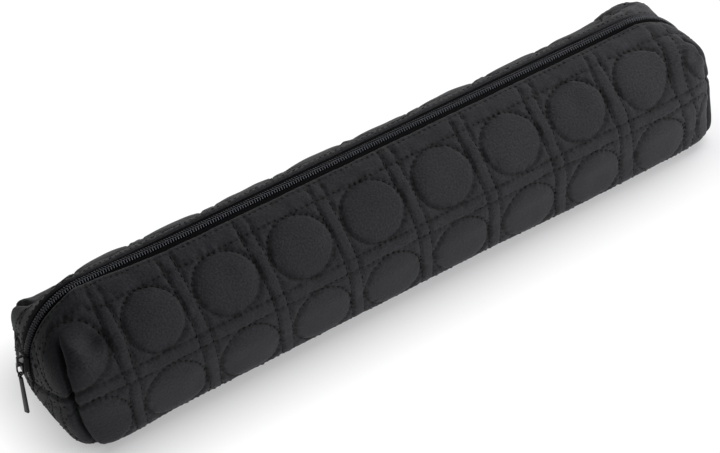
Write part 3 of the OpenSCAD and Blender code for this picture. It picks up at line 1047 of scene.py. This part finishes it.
def eyed_bar():
    """The slim pull bar with its eye round the link's low wire."""
    fresh()
    bpy.ops.mesh.primitive_cube_add(size=MM, location=(0, 0, -BAR_DOWN * MM))
    bar = bpy.context.object
    bar.name = "eyed_pull_bar"
    bar.scale = BAR_SIZE
    keep_place()
    # A little narrower under the eye than at the low end
    reshape(lambda co: co.z > -3.0 * MM, size=(0.9, 0.8, 1), move=(0, 0, -0.35 * MM))
    # The upright corners' short edges, front to back, are rounded at both ends of the bar
    for edge in bar.data.edges:
        a, b = (bar.data.vertices[k].co for k in edge.vertices)
        edge.select = abs(a.y - b.y) < 1e-6 and abs(a.z - b.z) < 1e-6
    bpy.ops.object.mode_set(mode="EDIT")
    bpy.ops.mesh.select_mode(type="EDGE")
    bpy.ops.mesh.bevel(offset=BAR_ROUND * MM, segments=5, affect="EDGES")
    bpy.ops.object.mode_set(mode="OBJECT")
    soft = bar.modifiers.new("soft_edges", "BEVEL")
    soft.width = BAR_SOFT * MM
    soft.segments = 3
    soft.limit_method = "ANGLE"
    bpy.ops.object.modifier_apply(modifier="soft_edges")
    wire_ring(EYE_R, EYE_WIRE_R, (28, 10), (math.pi / 2, 0, 0))
    reshape(size=(1, 1.1, 1))
    bar.select_set(True)
    bpy.context.view_layer.objects.active = bar
    bpy.ops.object.join()
    settle_down(bar, (0, 0, 0), (0, 0, LINK_TWIST))
    settle_down(bar, (0, 0, 0), (0, BAR_LEAN, 0))
    low_x = -LINK_OUT * math.cos(SLIDER_TURN) + (LINK_UP - LINK_DROP) * math.sin(SLIDER_TURN)
    low_z = LINK_OUT * math.sin(SLIDER_TURN) + (LINK_UP - LINK_DROP) * math.cos(SLIDER_TURN)
    settle_down(bar, (low_x - TURN_X, 0, low_z + TURN_Z))
    bpy.ops.object.shade_smooth_by_angle(angle=math.radians(50))
    return bar


# ---------------------------------------------------------------- materials


def feed(tree, sockets, given):
    """Sets sockets to the numbers given, or joins them to the outputs given."""
    for key, value in dict(given).items():
        if isinstance(value, bpy.types.NodeSocket):
            tree.links.new(value, sockets[key])
        else:
            sockets[key].default_value = value


def new_node(tree, kind, given=(), **settings):
    """A shader node with its settings and what its sockets are given."""
    node = tree.nodes.new("ShaderNode" + kind)
    for key, value in settings.items():
        setattr(node, key, value)
    feed(tree, node.inputs, given)
    return node


def math_node(tree, operation, *values):
    """The output of a math node between numbers or sockets."""
    return new_node(tree, "Math", enumerate(values), operation=operation).outputs[0]


def times_plus(tree, value, factor, more):
    """A value times a factor, plus a number or another value."""
    return math_node(tree, "ADD", math_node(tree, "MULTIPLY", value, factor), more)


def new_group(name, places, numbers, results):
    """An empty node group with its sockets, and the sockets of its two end nodes."""
    group = bpy.data.node_groups.new(name, "ShaderNodeTree")
    sockets = [(key, "INPUT", "Vector") for key in places]
    sockets += [(key, "INPUT", "Float") for key in numbers]
    sockets += [(key, "OUTPUT", "Float") for key in results]
    for key, way, kind in sockets:
        group.interface.new_socket(name=key, in_out=way, socket_type="NodeSocket" + kind)
    first, last = group.nodes.new("NodeGroupInput"), group.nodes.new("NodeGroupOutput")
    return group, first.outputs, last.inputs


def weave_group():
    """Crossing threads: how high the cloth stands and how light its threads are."""
    group, given, result = new_group(
        "crossed_threads", ["Place"], ["Threads", "Slub"], ["Height", "Light"]
    )
    place, threads = given["Place"], given["Threads"]
    split = new_node(group, "SeparateXYZ", {0: place}).outputs
    waves = [
        math_node(group, "SINE", math_node(group, "MULTIPLY", split[axis], threads))
        for axis in "XY"
    ]
    crossing = math_node(group, "MULTIPLY", *waves)
    scale = math_node(group, "MULTIPLY", threads, 0.11)
    yarn = new_node(group, "TexNoise", {"Vector": place, "Scale": scale, "Detail": 2.0})
    centred = math_node(group, "SUBTRACT", yarn.outputs["Fac"], 0.5)
    slub = math_node(group, "MULTIPLY", centred, given["Slub"])
    light = math_node(group, "ADD", times_plus(group, crossing, 0.12, slub), 1.0)
    feed(group, result, {"Height": times_plus(group, crossing, 0.5, slub), "Light": light})
    return group


def worn_crests_shaded_valleys_group():
    """Lighter, worn crests and darker valleys, of dust and painted shade, from a height kept on
    the mesh.
    """
    group, given, result = new_group("worn_crests_painted_valley_shade", [], ["Wear and valley shade", "Contrast"], ["Light"])
    feed(group, result, {"Light": times_plus(group, given["Wear and valley shade"], given["Contrast"], 1.0)})
    return group


def shade(tree, colour, factors):
    """A colour made lighter or darker by several values."""
    value = factors[0]
    for factor in factors[1:]:
        value = math_node(tree, "MULTIPLY", value, factor)
    grey = new_node(tree, "CombineColor", dict.fromkeys(range(3), value)).outputs[0]
    given = {"Factor": 1.0, "A": (*colour, 1), "B": grey}
    mix = new_node(tree, "Mix", data_type="RGBA", blend_type="MULTIPLY")
    feed(tree, mix.inputs, given)
    return mix.outputs["Result"]


def new_material(name):
    """A material with its node tree and the sockets of its shader."""
    material = bpy.data.materials.new(name)
    material.use_nodes = True
    return material, material.node_tree, material.node_tree.nodes["Principled BSDF"].inputs


def mottled(tree, scale, detail):
    """A noise over the piece, from its own coordinates."""
    place = new_node(tree, "TexCoord").outputs["Object"]
    given = {"Vector": place, "Scale": scale, "Detail": detail}
    return new_node(tree, "TexNoise", given).outputs["Fac"]


def cloth_material(name, colour, threads, depth, rough, specular, sheen, wear_and_valley_shade=0.0, slub=0.5):
    """Woven cloth: crossing threads, uneven yarn, worn crests and painted shade in the valleys,
    and a soft sheen.
    """
    material, tree, shader = new_material(name)
    place = new_node(tree, "UVMap", uv_map="cloth").outputs[0]
    weave = new_node(tree, "Group", node_tree=WEAVE)
    spacing = 2 * math.pi / threads / MM
    feed(tree, weave.inputs, {"Place": place, "Threads": spacing, "Slub": slub})
    factors = [weave.outputs["Light"], times_plus(tree, mottled(tree, 55.0, 3.0), 0.24, 0.88)]
    # Crests are made lighter as wear, and the stitched valleys darker as dust and painted shade
    if wear_and_valley_shade:
        held = new_node(tree, "Attribute", attribute_name="wear_and_valley_shade").outputs["Fac"]
        worn_and_shaded = new_node(tree, "Group", node_tree=WORN_AND_SHADED)
        feed(tree, worn_and_shaded.inputs, {"Wear and valley shade": held, "Contrast": wear_and_valley_shade})
        factors.append(worn_and_shaded.outputs["Light"])
    relief = {"Strength": 0.6, "Distance": depth * MM, "Height": weave.outputs["Height"]}
    looks = {
        "Base Color": shade(tree, colour, factors),
        "Normal": new_node(tree, "Bump", relief).outputs[0],
        "Roughness": rough,
        "Specular IOR Level": specular,
        "Sheen Weight": sheen,
        "Sheen Roughness": 0.45,
    }
    feed(tree, shader, looks)
    return material


def hard_material(name, colour, rough, specular, coat=0.0, grain=400.0):
    """Nylon or painted metal: a little mottled, with fine handling marks."""
    material, tree, shader = new_material(name)
    marks = mottled(tree, grain, 4.0)
    looks = {
        "Base Color": shade(tree, colour, [times_plus(tree, marks, 0.5, 0.75)]),
        "Roughness": times_plus(tree, marks, 0.2, rough - 0.1),
        "Specular IOR Level": specular,
        "Coat Weight": coat,
        "Coat Roughness": 0.15,
    }
    feed(tree, shader, looks)
    return material


WEAVE = weave_group()
WORN_AND_SHADED = worn_crests_shaded_valleys_group()
CLOTHS = {
    "cover": cloth_material(
        "quilted_cloth",
        (0.0138, 0.0136, 0.0168),
        threads=0.70,
        depth=0.22,
        rough=0.62,
        specular=0.20,
        sheen=0.10,
        wear_and_valley_shade=0.30,
        slub=2.4,
    ),
    "lining": cloth_material("lining_cloth", (0.013, 0.013, 0.015), 0.5, 0.05, 0.5, 0.35, 0.05),
    # The tape's colour is darker than the real tape, as painted shade in the slot's gap
    "tape": cloth_material("zip_tape_cloth_darkened_as_shade", (0.0014, 0.0014, 0.0019), 0.8, 0.16, 0.8, 0.08, 0.0),
    "binding": cloth_material("binding_tape", (0.010, 0.010, 0.011), 0.7, 0.12, 0.7, 0.2, 0.05),
}
THREAD = hard_material("quilting_thread", (0.0032, 0.0032, 0.0036), 0.6, 0.24, grain=2500.0)
NYLON = hard_material("zip_coil_nylon", (0.022, 0.0235, 0.034), 0.30, 0.75, grain=900.0)
METAL = hard_material("black_painted_metal", (0.0045, 0.0045, 0.005), 0.42, 0.4, coat=0.1)

# ---------------------------------------------------------------- the case put together

for side, word in ((-1, "front"), (1, "back")):
    half = quilted_half(side)
    panel = quilted_panel(word + "_quilted_panel", half)
    lining = lining_cloth(word + "_lining_cloth", half)
    thread = stitching(word + "_quilting_thread", half)
    tape = zip_tape(word + "_woven_zip_tape", side)
    teeth = zip_teeth(word + "_zip_teeth", side)
    dressed = (
        (panel, "cover", CLOTHS["cover"]),
        (thread, "cover", THREAD),
        (lining, "lining", CLOTHS["lining"]),
        (tape, "zip_tape", CLOTHS["tape"]),
        (teeth, "zip_coil", NYLON),
    )
    for piece, slot, material in dressed:
        piece.data.materials.append(material)
        open_with(piece)
    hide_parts(word + "_cover", word + "_wadding", "base_cover", "base_wadding")
    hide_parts(word + "_lining", "base_lining")
    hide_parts(word + "_zip_tape", "left_zip_tail", "right_zip_tail")
    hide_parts(word + "_zip_coil")

for piece, body, node in (
    (pull_ring(), "link", "pull_link"),
    (eyed_bar(), "bar", "pull_bar"),
):
    piece.data.materials.append(METAL)
    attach(piece, body)
    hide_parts(node)

for name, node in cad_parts.items():
    node.data.materials.clear()
    rigid = name in ("slider_body", "pull_link", "pull_bar")
    node.data.materials.append(METAL if rigid else CLOTHS["binding"])

# ---------------------------------------------------------------- floor, light and camera

# The floor is plainly lit, with less glow, up to these distances from the middle, so it is darker
# there as painted shade round its real shadow, and turns white beyond
SHADE_X, SHADE_Y, SHADE_REACH = 0.165, 0.034, 0.038
GLOW, GLOW_NEAR, GLOW_FAR = 1.06, 0.25, 0.92


def floor_material():
    """A pale floor that is seen and mirrored white away from the case, and keeps its shadow near
    it, where a mask lowers its glow as painted shade.
    """
    material, tree, _ = new_material("pale_floor")
    tree.nodes.clear()
    lit = new_node(tree, "BsdfDiffuse", {"Color": (0.90, 0.90, 0.92, 1)}).outputs[0]
    glow = new_node(tree, "Emission", {"Strength": GLOW}).outputs[0]
    where = new_node(tree, "TexCoord").outputs["Object"]
    split = new_node(tree, "SeparateXYZ", {0: where}).outputs
    off = []
    for axis, half in (("X", SHADE_X), ("Y", SHADE_Y)):
        beyond = math_node(tree, "SUBTRACT", math_node(tree, "ABSOLUTE", split[axis]), half)
        beyond = math_node(tree, "MAXIMUM", beyond, 0.0)
        off.append(math_node(tree, "MULTIPLY", beyond, beyond))
    away = math_node(tree, "SQRT", math_node(tree, "ADD", *off))
    # Near the case the glow share is lowered by distance: painted shade that keeps the shadow
    # close
    given = {"Value": away, "From Max": SHADE_REACH, "To Min": GLOW_NEAR, "To Max": GLOW_FAR}
    share = new_node(tree, "MapRange", given).outputs[0]
    ray = new_node(tree, "LightPath").outputs
    seen = math_node(tree, "ADD", ray["Is Camera Ray"], ray["Is Glossy Ray"])
    seen = math_node(tree, "ADD", seen, ray["Is Transmission Ray"])
    seen = math_node(tree, "MULTIPLY", seen, share)
    mix = new_node(tree, "MixShader", {0: seen, 1: lit, 2: glow}).outputs[0]
    new_node(tree, "OutputMaterial", {0: mix})
    return material


bpy.ops.mesh.primitive_plane_add(size=12, location=(0, 0, 0))
floor = bpy.context.object
floor.name = "floor"
floor.data.materials.append(floor_material())

world = bpy.data.worlds.new("studio")
bpy.context.scene.world = world
world.use_nodes = True
sky_tree = world.node_tree
# The room is lighter to the right and the front than to the left and the back
sky_place = new_node(sky_tree, "TexCoord").outputs["Generated"]
sky_split = new_node(sky_tree, "SeparateXYZ", {0: sky_place}).outputs
to_front = math_node(sky_tree, "MULTIPLY", sky_split["Y"], -0.25)
to_right = times_plus(sky_tree, sky_split["X"], 0.7, to_front)
level = math_node(sky_tree, "ADD", to_right, 1.0)
sky_looks = {"Color": shade(sky_tree, (0.97, 0.98, 1.0), [level]), "Strength": 0.24}
feed(sky_tree, sky_tree.nodes["Background"].inputs, sky_looks)


def soft_lamp(name, place, aim, size, power):
    """A square lamp at a place, turned to what it lights."""
    data = bpy.data.lights.new(name, "AREA")
    data.shape = "SQUARE"
    data.size = size
    data.energy = power
    lamp = new_object(name, data)
    lamp.location = place
    away = Vector(place) - Vector(aim)
    lamp.rotation_euler = away.to_track_quat("Z", "Y").to_euler()


soft_lamp("key_lamp", (0.58, 0.10, 0.56), (0.05, 0, 0.03), 0.55, 2.9)
soft_lamp("fill_lamp", (0.85, -1.0, 0.42), (0, 0, 0.03), 0.7, 13.5)
soft_lamp("back_lamp", (0.3, 1.1, 0.45), (0, 0, 0.03), 0.8, 2.2)

camera_data = bpy.data.cameras.new("camera")
camera_data.lens = 96.99
camera_data.sensor_width = 36.0
camera_data.clip_start = 0.01
camera = new_object("camera", camera_data)
bpy.context.scene.camera = camera
right = Vector((0.8495, -0.5018, -0.1631))
up = Vector((0.4192, 0.4540, 0.7862))
forward = Vector((0.3205, 0.7362, -0.5960))
turn = Matrix((right, up, -forward)).transposed()
camera.matrix_world = Matrix.Translation((-0.3047, -0.6766, 0.5705)) @ turn.to_4x4()
bpy.context.scene.view_settings.view_transform = "Standard"
